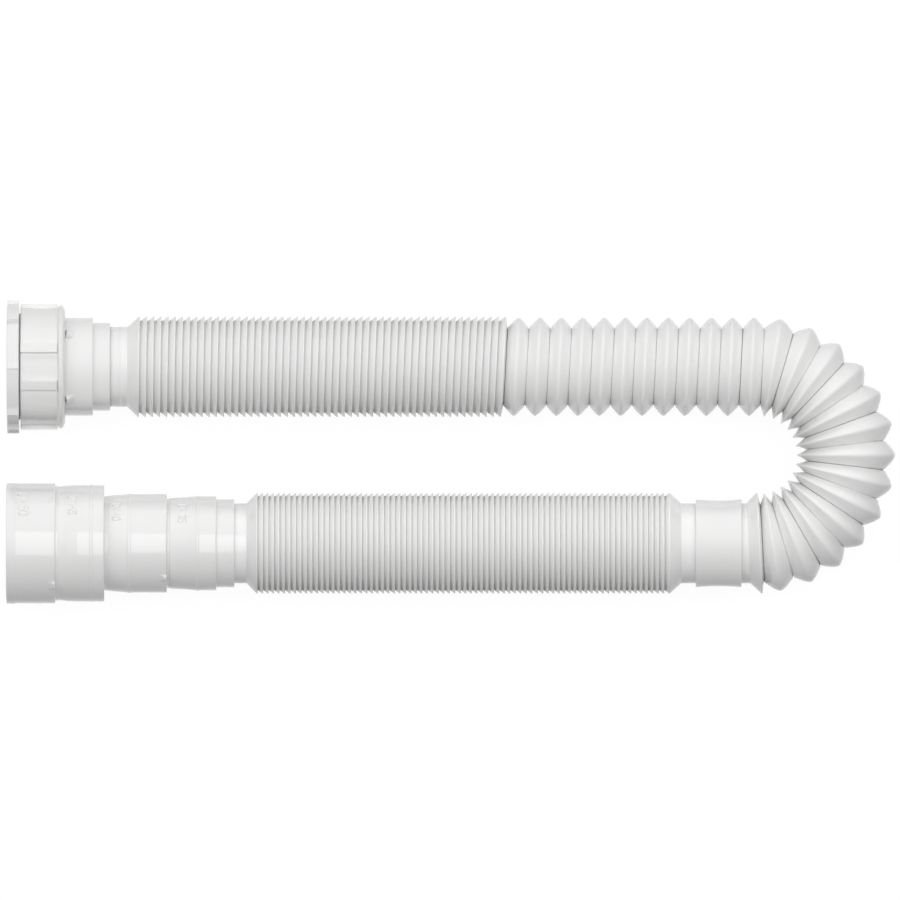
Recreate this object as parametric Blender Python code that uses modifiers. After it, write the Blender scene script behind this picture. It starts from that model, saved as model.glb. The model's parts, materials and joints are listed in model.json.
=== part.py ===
"""Flexible sink trap, lying on its side as a U.

Two bellows hoses are joined by a middle sleeve. The upper hose carries the inlet fittings:
a tailpiece, a ribbed union nut, a sealing washer and a threaded reducer ring. The lower hose
ends in a stepped adapter that takes four sizes of pipe. Metres, +Z up. The inlet leg runs
along -X at +Y, the outlet leg along -X at -Y, and the bend lies at +X.
"""
import math

import bmesh
import bpy
from mathutils import Matrix, Vector

# Clearance between pieces that touch on the real trap
GAP = 0.0003

# Layout of the two legs and the bend
LEG_SPACING = 0.0784
BEND_LEAN = math.radians(3.0)
INLET_LEAN = math.radians(0.7)

# Hose section
NECK_RADIUS = 0.01775
NECK_WALL = 0.0010
VALLEY_RADIUS = 0.0173
OPEN_PEAK_RADIUS = 0.0219
CLOSED_PEAK_RADIUS = 0.02235
CLOSED_GROOVE_DEPTH = 0.0026
FOLD_WALL = 0.0010
CONE_LENGTH = 0.0050
HOSE_SIDES = 16
CLOSED_SIDES = 12

# Open folds
OPEN_PITCH = 0.0095
OPEN_FOLDS = 12
BEND_FOLDS = 13
FOLDS_PER_LINK = 2

# Closed folds, pressed flat on each other
UPPER_CLOSED_PITCH = 0.00317
UPPER_CLOSED_FOLDS = 52
LOWER_CLOSED_PITCH = 0.00244
LOWER_CLOSED_FOLDS = 76
LAST_FOLD_DROP = 0.0008
END_FOLD_DROP = 0.0013

# Plain necks that show beside the collars
INLET_NECK_SHOWN = 0.0080
END_NECK_SHOWN = 0.0029
LOWER_NECK_SHOWN = 0.0064
OUTLET_NECK_SHOWN = 0.0053
SEAT_DEPTH = 0.0090

# Collars, shared by the tailpiece, the sleeve and the adapter
FITTING_SIDES = 24
ROUND_STEPS = 3
COLLAR_WALL = 0.0015
STOP_STEP = 0.00035
EDGE_ROUND = 0.0006
SLEEVE_LENGTH = 0.0204
SLEEVE_WAIST = 0.0005
SLEEVE_WAIST_STEPS = 8
SLEEVE_STOP_WIDTH = 0.0018

# Inlet tailpiece
SMALL_COLLAR_LENGTH = 0.0076
BIG_COLLAR_SHOWN = 0.0124
FLANGE_STEP = 0.00095
FLANGE_PLAY = 0.0012
FLANGE_THICKNESS = 0.0025
SNAP_RAMP_ANGLE = math.radians(40.6)
SNAP_RAMP_LENGTH = 0.0043
SNAP_RAMP_CREST = 0.0011
SNAP_RAMP_WIDTH = 0.0033
SNAP_RAMP_HEIGHT = 0.0022

# Union nut, for a pipe thread of 1 1/2 inch
NUT_LENGTH = 0.01975
NUT_THREAD_RADIUS = 0.0239
NUT_WALL = 0.0022
NUT_BACK_WALL = 0.0035
NUT_BAND_LENGTH = 0.0031
NUT_BAND_HEIGHT = 0.0014
NUT_SHOULDER_ROUND = 0.0024
RIB_HEIGHT = 0.0019
RIB_WIDTH = 0.0046
RIB_PAIR_ANGLE = math.radians(17.5)

# Sealing washer and reducer ring
WASHER_THICKNESS = 0.0025
WASHER_PLAY = 0.0005
RING_RADIUS = 0.0280
RING_THICKNESS = 0.0054
RING_TO_NUT = 0.0006
RING_BORE_RADIUS = 0.02095
GRIP_TEETH = 8
GRIP_TOOTH_HEIGHT = 0.0016
GRIP_TOOTH_WIDTH = 0.0028
GRIP_TOOTH_ANGLE = math.radians(1.75)

# Stepped outlet adapter: bore diameters are the pipe sizes that it takes
PIPE_50 = 0.050
PIPE_48 = 0.048
PIPE_40 = 0.040
PIPE_38 = 0.038
STEP_WALL = 0.0019
STEP_50_LENGTH = 0.02175
STEP_48_LENGTH = 0.02175
STEP_40_LENGTH = 0.02775
STEP_38_LENGTH = 0.0220
OUTLET_COLLAR_LENGTH = 0.0080
SAW_GROOVE_WIDTH = 0.0015
SAW_GROOVE_DEPTH = 0.0007
BAND_40_LENGTH = 0.0086
BAND_38_LENGTH = 0.0114
BAND_SINK = 0.0005
BEAD_WIDTH = 0.0015
BEAD_HEIGHT = 0.0003
BEAD_FROM_END_48 = 0.0060
PIPS = 4
PIP_LENGTH = 0.0026
PIP_WIDTH = 0.0016
PIP_HEIGHT = 0.0005

# Colours and finishes
WHITE_PLASTIC = (0.84, 0.84, 0.83)
HOSE_PLASTIC = (0.83, 0.83, 0.82)
SEAL_RUBBER = (0.62, 0.63, 0.64)
FITTING_ROUGHNESS = 0.3
HOSE_ROUGHNESS = 0.35
RUBBER_ROUGHNESS = 0.6

# Values that follow from the sizes above
LEG_Y = LEG_SPACING / 2
BEND_RADIUS = LEG_Y / math.cos(BEND_LEAN)
BEND_START_X = BEND_RADIUS * math.sin(BEND_LEAN)
BEND_LENGTH = BEND_RADIUS * (math.pi - 2 * BEND_LEAN)
BEND_PITCH = BEND_LENGTH / BEND_FOLDS
LINKS = BEND_FOLDS // FOLDS_PER_LINK
COLLAR_RADIUS = NECK_RADIUS + GAP + COLLAR_WALL
STOP_RADIUS = NECK_RADIUS - NECK_WALL - STOP_STEP
FLANGE_RADIUS = NUT_THREAD_RADIUS - FLANGE_PLAY
BIG_COLLAR_RADIUS = FLANGE_RADIUS - FLANGE_STEP
NUT_RADIUS = NUT_THREAD_RADIUS + NUT_WALL
NUT_BAND_RADIUS = NUT_RADIUS + NUT_BAND_HEIGHT

# Distances along the upper hose from the start of the bend, negative towards the inlet
OPEN_START = -OPEN_FOLDS * OPEN_PITCH
LAST_CLOSED_PEAK = OPEN_START - LAST_FOLD_DROP
FIRST_CLOSED_PEAK = LAST_CLOSED_PEAK - (UPPER_CLOSED_FOLDS - 1) * UPPER_CLOSED_PITCH
INLET_CONE = FIRST_CLOSED_PEAK - CONE_LENGTH
INLET_MOUTH = INLET_CONE - INLET_NECK_SHOWN
END_PEAK = BEND_LENGTH + END_FOLD_DROP
END_CONE = END_PEAK + CONE_LENGTH
END_MOUTH = END_CONE + END_NECK_SHOWN

# Places of the inlet fittings along X, from the tailpiece's mouth to the ring's face
TAIL_MOUTH_X = BEND_START_X + INLET_MOUTH
BIG_COLLAR_X = TAIL_MOUTH_X - SMALL_COLLAR_LENGTH
NUT_BACK_X = BIG_COLLAR_X - BIG_COLLAR_SHOWN
NUT_FRONT_X = NUT_BACK_X - NUT_LENGTH
FLANGE_BACK_X = NUT_BACK_X - NUT_BACK_WALL - GAP
FLANGE_FRONT_X = FLANGE_BACK_X - FLANGE_THICKNESS
WASHER_BACK_X = FLANGE_FRONT_X - GAP
RING_TIP_X = WASHER_BACK_X - WASHER_THICKNESS - GAP
RING_BACK_X = NUT_FRONT_X - RING_TO_NUT
RING_FACE_X = RING_BACK_X - RING_THICKNESS

# Places of the outlet fittings along X, from the sleeve to the adapter's mouth
SLEEVE_RIGHT_X = BEND_START_X - (END_MOUTH - BEND_LENGTH)
SLEEVE_LEFT_X = SLEEVE_RIGHT_X - SLEEVE_LENGTH
SLEEVE_SEAT = (SLEEVE_LENGTH - SLEEVE_STOP_WIDTH) / 2 - GAP
LOWER_LAST_PEAK_X = SLEEVE_LEFT_X - LOWER_NECK_SHOWN - CONE_LENGTH
LOWER_FIRST_PEAK_X = LOWER_LAST_PEAK_X - (LOWER_CLOSED_FOLDS - 1) * LOWER_CLOSED_PITCH
ADAPTER_RIGHT_X = LOWER_FIRST_PEAK_X - CONE_LENGTH - OUTLET_NECK_SHOWN
STEP_38_X = ADAPTER_RIGHT_X - OUTLET_COLLAR_LENGTH - STEP_38_LENGTH
STEP_40_X = STEP_38_X - STEP_40_LENGTH
STEP_48_X = STEP_40_X - STEP_48_LENGTH
ADAPTER_MOUTH_X = STEP_48_X - STEP_50_LENGTH

# A turned shape is drawn round Z: this turns Z to X, and the profile's X to Y
LAY_ALONG_X = Matrix(((0, 0, 1), (1, 0, 0), (0, 1, 0)))

# Edges that turn by more than this stay sharp in the smooth shading
SHARP_ANGLE = math.radians(35)


def clear_scene():
    """Remove what the scene holds, so that the model starts empty."""
    for old in list(bpy.data.objects):
        bpy.data.objects.remove(old, do_unlink=True)


def make_collection(name):
    """Return a new collection linked to the scene."""
    made = bpy.data.collections.new(name)
    bpy.context.scene.collection.children.link(made)
    return made


def plastic(name, colour, roughness):
    """Return a Principled material with one plain colour."""
    material = bpy.data.materials.new(name)
    material.use_nodes = True
    shader = material.node_tree.nodes["Principled BSDF"]
    shader.inputs["Base Color"].default_value = (*colour, 1)
    shader.inputs["Roughness"].default_value = roughness
    shader.inputs["Metallic"].default_value = 0
    return material


def profile_mesh(name, outer, inner):
    """Return a closed profile in XZ: down the outer side, then up the inner side."""
    loop = [(r, 0, s) for s, r in reversed(outer)] + [(r, 0, s) for s, r in inner]
    edges = [(i, (i + 1) % len(loop)) for i in range(len(loop))]
    mesh = bpy.data.meshes.new(name)
    mesh.from_pydata(loop, edges, [])
    return mesh


def evaluated_mesh(obj):
    """Return a plain mesh of an object as its modifiers leave it."""
    bpy.context.view_layer.update()
    depsgraph = bpy.context.evaluated_depsgraph_get()
    return bpy.data.meshes.new_from_object(obj.evaluated_get(depsgraph))


def turned_mesh(name, outer, inner, sides):
    """Return a profile of (distance along Z, radius) points turned round Z, shaded smooth."""
    drawn = bpy.data.objects.new(name, profile_mesh(name + "_profile", outer, inner))
    PARTS.objects.link(drawn)
    screw = drawn.modifiers.new("turn", "SCREW")
    screw.axis = "Z"
    screw.angle = 2 * math.pi
    screw.steps = sides
    screw.render_steps = sides
    screw.merge_threshold = 0.0001
    mesh = evaluated_mesh(drawn)
    bpy.data.objects.remove(drawn, do_unlink=True)
    mesh.name = name
    mesh.shade_smooth()
    mesh.set_sharp_from_angle(angle=SHARP_ANGLE)
    return mesh


def turned_fitting(name, outer, inner, material, place, sides=FITTING_SIDES):
    """Return a turned piece on a leg's axis; profile points are (distance along X, radius)."""
    obj = bpy.data.objects.new(name, turned_mesh(name, outer, inner, sides))
    PARTS.objects.link(obj)
    obj.parent = TRAP
    obj.location = place
    obj.rotation_euler = LAY_ALONG_X.to_euler()
    obj.data.materials.append(material)
    return obj


def straight_lean(s):
    """Lean of the folds on the inlet leg: it dies away from the bend to the inlet collar."""
    if s >= LAST_CLOSED_PEAK:
        return BEND_LEAN
    if s >= FIRST_CLOSED_PEAK:
        share = (s - FIRST_CLOSED_PEAK) / (LAST_CLOSED_PEAK - FIRST_CLOSED_PEAK)
        return INLET_LEAN + share * (BEND_LEAN - INLET_LEAN)
    share = (s - INLET_MOUTH) / (FIRST_CLOSED_PEAK - INLET_MOUTH)
    return INLET_LEAN * max(0, share)


def station(s):
    """Return the hose's centre and the lean of its ring at the distance s past the bend's start."""
    if s < 0:
        return Vector((BEND_START_X + s, LEG_Y, 0)), straight_lean(s)
    if s <= BEND_LENGTH:
        lean = BEND_LEAN + s / BEND_RADIUS
        return BEND_RADIUS * Vector((math.sin(lean), math.cos(lean), 0)), lean
    share = min(1, max(0, (s - END_CONE) / (END_MOUTH - END_CONE)))
    centre = Vector((BEND_START_X - (s - BEND_LENGTH), -LEG_Y, 0))
    return centre, math.pi - BEND_LEAN * (1 - share)


def hose_piece(name, outer, inner, sides, material, origin_s):
    """Return a turned piece of the upper hose, laid along the legs and the bend."""
    mesh = turned_mesh(name, outer, inner, sides)
    origin = station(origin_s)[0]
    for vertex in mesh.vertices:
        across, up, s = vertex.co
        centre, lean = station(s)
        outward = Vector((math.sin(lean), math.cos(lean), 0))
        vertex.co = centre + across * outward + Vector((0, 0, up)) - origin
    obj = bpy.data.objects.new(name, mesh)
    PARTS.objects.link(obj)
    obj.parent = TRAP
    obj.location = origin
    mesh.materials.append(material)
    return obj


def closed_folds(first_peak, pitch, count):
    """Profile of closed folds: each ramp rises to a peak, then drops straight to the groove."""
    groove = CLOSED_PEAK_RADIUS - CLOSED_GROOVE_DEPTH
    points = [(first_peak, CLOSED_PEAK_RADIUS)]
    for k in range(1, count):
        points.append((first_peak + (k - 1) * pitch, groove))
        points.append((first_peak + k * pitch, CLOSED_PEAK_RADIUS))
    return points


def open_folds(start, pitch, count):
    """Outer and inner profiles of open folds, from valley to valley, cut short by the gap."""
    outer = [(start + GAP / 2, VALLEY_RADIUS)]
    for k in range(count):
        outer.append((start + (k + 0.5) * pitch, OPEN_PEAK_RADIUS))
        outer.append((start + (k + 1) * pitch, VALLEY_RADIUS))
    outer[-1] = (outer[-1][0] - GAP / 2, VALLEY_RADIUS)
    inner = [(s, r - FOLD_WALL) for s, r in outer]
    return outer, inner


def inlet_closed_hose(material):
    """Inlet neck, its cone and the closed folds of the upper hose."""
    groove_bore = VALLEY_RADIUS - FOLD_WALL
    neck_bore = NECK_RADIUS - NECK_WALL
    end = OPEN_START - GAP / 2
    neck_end = INLET_MOUTH - SEAT_DEPTH
    outer = [(neck_end, NECK_RADIUS), (INLET_CONE, NECK_RADIUS)]
    outer += closed_folds(FIRST_CLOSED_PEAK, UPPER_CLOSED_PITCH, UPPER_CLOSED_FOLDS)
    outer.append((end, VALLEY_RADIUS))
    inner = [(neck_end, neck_bore), (INLET_CONE, neck_bore)]
    inner += [(FIRST_CLOSED_PEAK, groove_bore), (end, groove_bore)]
    return hose_piece("upper_hose_closed_folds", outer, inner, CLOSED_SIDES, material, INLET_MOUTH)


def inlet_open_hose(material):
    """Open folds of the upper hose between the closed folds and the bend."""
    outer, inner = open_folds(OPEN_START, OPEN_PITCH, OPEN_FOLDS)
    return hose_piece("upper_hose_open_folds", outer, inner, HOSE_SIDES, material, 0)


def bend_links(material):
    """Folds of the bend in links, counted from the sleeve; each turns about its far valley."""
    for number in range(1, LINKS + 1):
        start = (LINKS - number) * FOLDS_PER_LINK * BEND_PITCH
        outer, inner = open_folds(start, BEND_PITCH, FOLDS_PER_LINK)
        pivot = start + FOLDS_PER_LINK * BEND_PITCH
        hose_piece(f"bend_link_{number}", outer, inner, HOSE_SIDES, material, pivot)


def bend_end(material):
    """Last folds of the bend, the cone and the neck that seats in the middle sleeve."""
    start = LINKS * FOLDS_PER_LINK * BEND_PITCH
    outer, inner = open_folds(start, BEND_PITCH, BEND_FOLDS - LINKS * FOLDS_PER_LINK)
    outer[-1] = (BEND_LENGTH, VALLEY_RADIUS)
    inner[-1] = (BEND_LENGTH, VALLEY_RADIUS - FOLD_WALL)
    neck_end = END_MOUTH + SLEEVE_SEAT
    outer += [(END_PEAK, CLOSED_PEAK_RADIUS), (END_CONE, NECK_RADIUS), (neck_end, NECK_RADIUS)]
    neck_bore = NECK_RADIUS - NECK_WALL
    inner += [(END_PEAK, neck_bore), (neck_end, neck_bore)]
    return hose_piece("bend_end_neck", outer, inner, HOSE_SIDES, material, END_MOUTH)


def lower_hose(material):
    """Whole lower hose: two necks with cones, and closed folds between them."""
    groove_bore = VALLEY_RADIUS - FOLD_WALL
    neck_bore = NECK_RADIUS - NECK_WALL
    left_end = ADAPTER_RIGHT_X - SEAT_DEPTH
    right_end = SLEEVE_LEFT_X + SLEEVE_SEAT
    left_cone = LOWER_FIRST_PEAK_X - CONE_LENGTH
    right_cone = LOWER_LAST_PEAK_X + CONE_LENGTH
    outer = [(left_end, NECK_RADIUS), (left_cone, NECK_RADIUS)]
    outer += closed_folds(LOWER_FIRST_PEAK_X, LOWER_CLOSED_PITCH, LOWER_CLOSED_FOLDS)
    outer += [(right_cone, NECK_RADIUS), (right_end, NECK_RADIUS)]
    inner = [(left_end, neck_bore), (left_cone, neck_bore)]
    inner += [(LOWER_FIRST_PEAK_X, groove_bore), (LOWER_LAST_PEAK_X, groove_bore)]
    inner += [(right_cone, neck_bore), (right_end, neck_bore)]
    place = (0, -LEG_Y, 0)
    return turned_fitting("lower_hose", outer, inner, material, place, CLOSED_SIDES)


def middle_sleeve(material):
    """Sleeve between the two hoses, with a slim waist and a stop rib inside."""
    left, right = SLEEVE_LEFT_X, SLEEVE_RIGHT_X
    stop_left = left + SLEEVE_SEAT + GAP
    stop_right = right - SLEEVE_SEAT - GAP
    bore = NECK_RADIUS + GAP
    outer = [(left, COLLAR_RADIUS - EDGE_ROUND)]
    for k in range(SLEEVE_WAIST_STEPS + 1):
        share = k / SLEEVE_WAIST_STEPS
        along = left + EDGE_ROUND + share * (SLEEVE_LENGTH - 2 * EDGE_ROUND)
        outer.append((along, COLLAR_RADIUS - SLEEVE_WAIST * math.sin(math.pi * share)))
    outer.append((right, COLLAR_RADIUS - EDGE_ROUND))
    inner = [
        (left, bore),
        (stop_left, bore),
        (stop_left, STOP_RADIUS),
        (stop_right, STOP_RADIUS),
        (stop_right, bore),
        (right, bore),
    ]
    return turned_fitting("middle_sleeve", outer, inner, material, (0, -LEG_Y, 0))


def wedge(name, length, crest, width, height, sink):
    """Return a ramp that lies along +Z: steep up to its crest, then down to its far end."""
    mesh = bpy.data.meshes.new(name)
    bm = bmesh.new()
    bmesh.ops.create_cube(bm, size=1)
    for vertex in bm.verts:
        far = vertex.co.z > 0
        top = vertex.co.x > 0
        x = (0 if far else height) if top else -sink
        near = crest if top else 0
        vertex.co = (x, vertex.co.y * width, length if far else near)
    bm.to_mesh(mesh)
    bm.free()
    return mesh


def block(name, low, high):
    """Return a box mesh between two corners."""
    low, high = Vector(low), Vector(high)
    mesh = bpy.data.meshes.new(name)
    bm = bmesh.new()
    bmesh.ops.create_cube(bm, size=1)
    size = high - low
    middle = (high + low) / 2
    for vertex in bm.verts:
        vertex.co = Vector(a * b for a, b in zip(vertex.co, size)) + middle
    bm.to_mesh(mesh)
    bm.free()
    return mesh


def spread_round(name, mesh, angles, radius, along):
    """Return one cutter object: copies of a mesh set round a turned piece's own axis."""
    bm = bmesh.new()
    for angle in angles:
        copy = mesh.copy()
        copy.transform(Matrix.Rotation(angle, 4, "Z") @ Matrix.Translation((radius, 0, along)))
        bm.from_mesh(copy)
        bpy.data.meshes.remove(copy)
    joined = bpy.data.meshes.new(name)
    bm.to_mesh(joined)
    bm.free()
    obj = bpy.data.objects.new(name, joined)
    CUTTERS.objects.link(obj)
    obj.display_type = "WIRE"
    obj.hide_render = True
    return obj


def combine(obj, other, operation):
    """Join another shape to a piece, or cut it from the piece, at the piece's own place."""
    other.parent = TRAP
    other.location = obj.location
    other.rotation_euler = obj.rotation_euler
    boolean = obj.modifiers.new(operation.lower(), "BOOLEAN")
    boolean.operation = operation
    boolean.solver = "EXACT"
    boolean.object = other


def even_angles(count, first):
    """Return evenly spaced angles for a round pattern."""
    return [first + k * 2 * math.pi / count for k in range(count)]


def inlet_tailpiece(material):
    """Tailpiece: a flange inside the nut, a big collar, a small collar and snap ramps."""
    seat = TAIL_MOUTH_X - SEAT_DEPTH - GAP
    bore = NECK_RADIUS + GAP
    outer = [
        (FLANGE_FRONT_X, FLANGE_RADIUS),
        (FLANGE_BACK_X, FLANGE_RADIUS),
        (FLANGE_BACK_X, BIG_COLLAR_RADIUS),
        (BIG_COLLAR_X - EDGE_ROUND, BIG_COLLAR_RADIUS),
        (BIG_COLLAR_X, BIG_COLLAR_RADIUS - EDGE_ROUND),
        (BIG_COLLAR_X, COLLAR_RADIUS),
        (TAIL_MOUTH_X - EDGE_ROUND, COLLAR_RADIUS),
        (TAIL_MOUTH_X, COLLAR_RADIUS - EDGE_ROUND),
    ]
    inner = [(FLANGE_FRONT_X, STOP_RADIUS), (seat, STOP_RADIUS), (seat, bore), (TAIL_MOUTH_X, bore)]
    obj = turned_fitting("inlet_tailpiece", outer, inner, material, (0, LEG_Y, 0))
    size = (SNAP_RAMP_LENGTH, SNAP_RAMP_CREST, SNAP_RAMP_WIDTH, SNAP_RAMP_HEIGHT)
    ramp = wedge("snap_ramp", *size, COLLAR_WALL)
    top = math.pi / 2
    angles = [top - SNAP_RAMP_ANGLE, top + SNAP_RAMP_ANGLE]
    angles += [-angle for angle in angles]
    ramps = spread_round("snap_ramps", ramp, angles, BIG_COLLAR_RADIUS, NUT_BACK_X + GAP)
    combine(obj, ramps, "UNION")
    return obj


def union_nut(material):
    """Nut: a threaded bore, a back wall that bears on the flange, a round shoulder and ribs."""
    floor = NUT_BACK_X - NUT_BACK_WALL
    back_bore = BIG_COLLAR_RADIUS + GAP
    band_x = NUT_BACK_X - NUT_BAND_LENGTH
    outer = [
        (NUT_FRONT_X, NUT_RADIUS - EDGE_ROUND),
        (NUT_FRONT_X + EDGE_ROUND, NUT_RADIUS),
        (band_x, NUT_RADIUS),
        (band_x, NUT_BAND_RADIUS),
    ]
    for k in range(ROUND_STEPS + 1):
        angle = k / ROUND_STEPS * math.pi / 2
        along = NUT_BACK_X - NUT_SHOULDER_ROUND * (1 - math.sin(angle))
        outer.append((along, NUT_BAND_RADIUS - NUT_SHOULDER_ROUND * (1 - math.cos(angle))))
    inner = [
        (NUT_FRONT_X, NUT_THREAD_RADIUS),
        (floor, NUT_THREAD_RADIUS),
        (floor, back_bore),
        (NUT_BACK_X, back_bore),
    ]
    obj = turned_fitting("union_nut", outer, inner, material, (0, LEG_Y, 0))
    root = (NUT_RADIUS + NUT_THREAD_RADIUS) / 2
    length = band_x + EDGE_ROUND - NUT_FRONT_X
    rib = block("grip_rib", (root, -RIB_WIDTH / 2, 0), (NUT_RADIUS + RIB_HEIGHT, RIB_WIDTH / 2, length))
    quarter = math.pi / 2
    angles = [0, quarter - RIB_PAIR_ANGLE, quarter + RIB_PAIR_ANGLE]
    angles += [angle + math.pi for angle in angles]
    ribs = spread_round("grip_ribs", rib, angles, 0, NUT_FRONT_X)
    combine(obj, ribs, "UNION")
    return obj


def sealing_washer(material):
    """Flat washer between the tailpiece's flange and the reducer ring."""
    front = WASHER_BACK_X - WASHER_THICKNESS
    rim = NUT_THREAD_RADIUS - WASHER_PLAY
    outer = [(front, rim), (WASHER_BACK_X, rim)]
    inner = [(front, STOP_RADIUS), (WASHER_BACK_X, STOP_RADIUS)]
    return turned_fitting("sealing_washer", outer, inner, material, (0, LEG_Y, 0))


def reducer_ring(material):
    """Ring: a flange with slanted grip teeth, and a threaded barrel that screws into the nut."""
    barrel = NUT_THREAD_RADIUS - GAP
    outer = [
        (RING_FACE_X, RING_RADIUS - EDGE_ROUND),
        (RING_FACE_X + EDGE_ROUND, RING_RADIUS),
        (RING_BACK_X - EDGE_ROUND, RING_RADIUS),
        (RING_BACK_X, RING_RADIUS - EDGE_ROUND),
        (RING_BACK_X, barrel),
        (RING_TIP_X, barrel),
    ]
    inner = [(RING_FACE_X, RING_BORE_RADIUS), (RING_TIP_X, RING_BORE_RADIUS)]
    obj = turned_fitting("reducer_ring", outer, inner, material, (0, LEG_Y, 0))
    tooth = grip_tooth(RING_THICKNESS - 2 * EDGE_ROUND)
    angles = even_angles(GRIP_TEETH, GRIP_TOOTH_ANGLE)
    teeth = spread_round("grip_teeth", tooth, angles, 0, RING_FACE_X + EDGE_ROUND)
    combine(obj, teeth, "UNION")
    return obj


def grip_tooth(length):
    """Return a tooth along +Z whose back slants up to a steep front at its +Y side."""
    root = (RING_RADIUS + NUT_THREAD_RADIUS) / 2
    tip = RING_RADIUS + GRIP_TOOTH_HEIGHT
    tooth = block("grip_tooth", (root, -GRIP_TOOTH_WIDTH, 0), (tip, 0, length))
    for vertex in tooth.vertices:
        if vertex.co.x > root and vertex.co.y < 0:
            vertex.co.x = RING_RADIUS - EDGE_ROUND
    return tooth


def groove(x, radius):
    """Saw groove at the left end of a step."""
    floor = radius - SAW_GROOVE_DEPTH
    return [(x, floor), (x + SAW_GROOVE_WIDTH, floor)]


def bead(x, radius):
    """Low bead round a step, with slanted sides."""
    quarter = BEAD_WIDTH / 4
    top = radius + BEAD_HEIGHT
    return [
        (x, radius),
        (x + quarter, top),
        (x + 3 * quarter, top),
        (x + BEAD_WIDTH, radius),
    ]


def sunk_band(x, length, radius):
    """Slightly sunk, tapered band that carries a size mark."""
    return [(x, radius - BAND_SINK), (x + length, radius - BAND_SINK / 2)]


def step_end(x, radius):
    """Rounded right end of a step."""
    return [(x - EDGE_ROUND, radius), (x, radius - EDGE_ROUND)]


def outlet_adapter(material):
    """Adapter: four stepped sockets, saw grooves between them, and the hose's collar."""
    r50, r48, r40, r38 = (size / 2 + STEP_WALL for size in (PIPE_50, PIPE_48, PIPE_40, PIPE_38))
    collar_x = ADAPTER_RIGHT_X - OUTLET_COLLAR_LENGTH
    band_40 = STEP_40_X + SAW_GROOVE_WIDTH
    band_38 = STEP_38_X + SAW_GROOVE_WIDTH
    after_40 = band_40 + BAND_40_LENGTH
    after_38 = band_38 + BAND_38_LENGTH
    outer = [(ADAPTER_MOUTH_X, r50 - EDGE_ROUND), (ADAPTER_MOUTH_X + EDGE_ROUND, r50)]
    outer += step_end(STEP_48_X, r50)
    outer += groove(STEP_48_X, r48)
    outer += [(STEP_48_X + SAW_GROOVE_WIDTH, r48)]
    outer += bead(STEP_40_X - BEAD_FROM_END_48, r48)
    outer += step_end(STEP_40_X, r48)
    outer += groove(STEP_40_X, r40 - BAND_SINK)
    outer += sunk_band(band_40, BAND_40_LENGTH, r40)
    outer += bead(after_40, r40)
    outer += step_end(STEP_38_X, r40)
    outer += groove(STEP_38_X, r38 - BAND_SINK)
    outer += sunk_band(band_38, BAND_38_LENGTH, r38)
    outer += bead(after_38, r38)
    outer += step_end(collar_x, r38)
    outer += [(collar_x, COLLAR_RADIUS)]
    outer += step_end(ADAPTER_RIGHT_X, COLLAR_RADIUS)
    bore = NECK_RADIUS + GAP
    seat = ADAPTER_RIGHT_X - SEAT_DEPTH - GAP
    floor_48 = STEP_40_X - STEP_WALL
    floor_40 = STEP_38_X - STEP_WALL
    floor_38 = after_38 + BEAD_WIDTH
    inner = [
        (ADAPTER_MOUTH_X, PIPE_50 / 2),
        (STEP_48_X, PIPE_50 / 2),
        (STEP_48_X, PIPE_48 / 2),
        (floor_48, PIPE_48 / 2),
        (floor_48, PIPE_40 / 2),
        (floor_40, PIPE_40 / 2),
        (floor_40, PIPE_38 / 2),
        (floor_38, PIPE_38 / 2),
        (floor_38, STOP_RADIUS),
        (seat, STOP_RADIUS),
        (seat, bore),
        (ADAPTER_RIGHT_X, bore),
    ]
    obj = turned_fitting("outlet_adapter", outer, inner, material, (0, -LEG_Y, 0))
    add_pips(obj, STEP_48_X, r50)
    add_pips(obj, STEP_38_X, r40)
    return obj


def add_pips(obj, end_x, radius):
    """Four small ramps round the right end of a step of the adapter."""
    pip = wedge("pip", -PIP_LENGTH, 0, PIP_WIDTH, PIP_HEIGHT, STEP_WALL / 2)
    pip.flip_normals()
    angles = even_angles(PIPS, math.pi / PIPS)
    pips = spread_round("pips", pip, angles, radius, end_x - EDGE_ROUND)
    combine(obj, pips, "UNION")


def rest_on_floor():
    """Move the parent so that the model's box has its bottom centre at the origin."""
    bpy.context.view_layer.update()
    depsgraph = bpy.context.evaluated_depsgraph_get()
    corners = []
    for obj in PARTS.objects:
        if obj.type == "MESH":
            seen = obj.evaluated_get(depsgraph)
            corners += [seen.matrix_world @ vertex.co for vertex in seen.data.vertices]
    low = Vector(min(corner[axis] for corner in corners) for axis in range(3))
    high = Vector(max(corner[axis] for corner in corners) for axis in range(3))
    TRAP.location -= Vector(((low.x + high.x) / 2, (low.y + high.y) / 2, low.z))
    bpy.context.view_layer.update()


clear_scene()
PARTS = make_collection("flexible_sink_trap")
CUTTERS = make_collection("cutters")
TRAP = bpy.data.objects.new("trap_origin", None)
PARTS.objects.link(TRAP)

reducer_ring(plastic("reducer_ring_plastic", WHITE_PLASTIC, FITTING_ROUGHNESS))
sealing_washer(plastic("sealing_washer_rubber", SEAL_RUBBER, RUBBER_ROUGHNESS))
union_nut(plastic("union_nut_plastic", WHITE_PLASTIC, FITTING_ROUGHNESS))
inlet_tailpiece(plastic("inlet_tailpiece_plastic", WHITE_PLASTIC, FITTING_ROUGHNESS))
HOSE_MATERIAL = plastic("upper_hose_plastic", HOSE_PLASTIC, HOSE_ROUGHNESS)
inlet_closed_hose(HOSE_MATERIAL)
inlet_open_hose(HOSE_MATERIAL)
bend_links(HOSE_MATERIAL)
bend_end(HOSE_MATERIAL)
middle_sleeve(plastic("middle_sleeve_plastic", WHITE_PLASTIC, FITTING_ROUGHNESS))
lower_hose(plastic("lower_hose_plastic", HOSE_PLASTIC, HOSE_ROUGHNESS))
outlet_adapter(plastic("outlet_adapter_plastic", WHITE_PLASTIC, FITTING_ROUGHNESS))
rest_on_floor()
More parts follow.
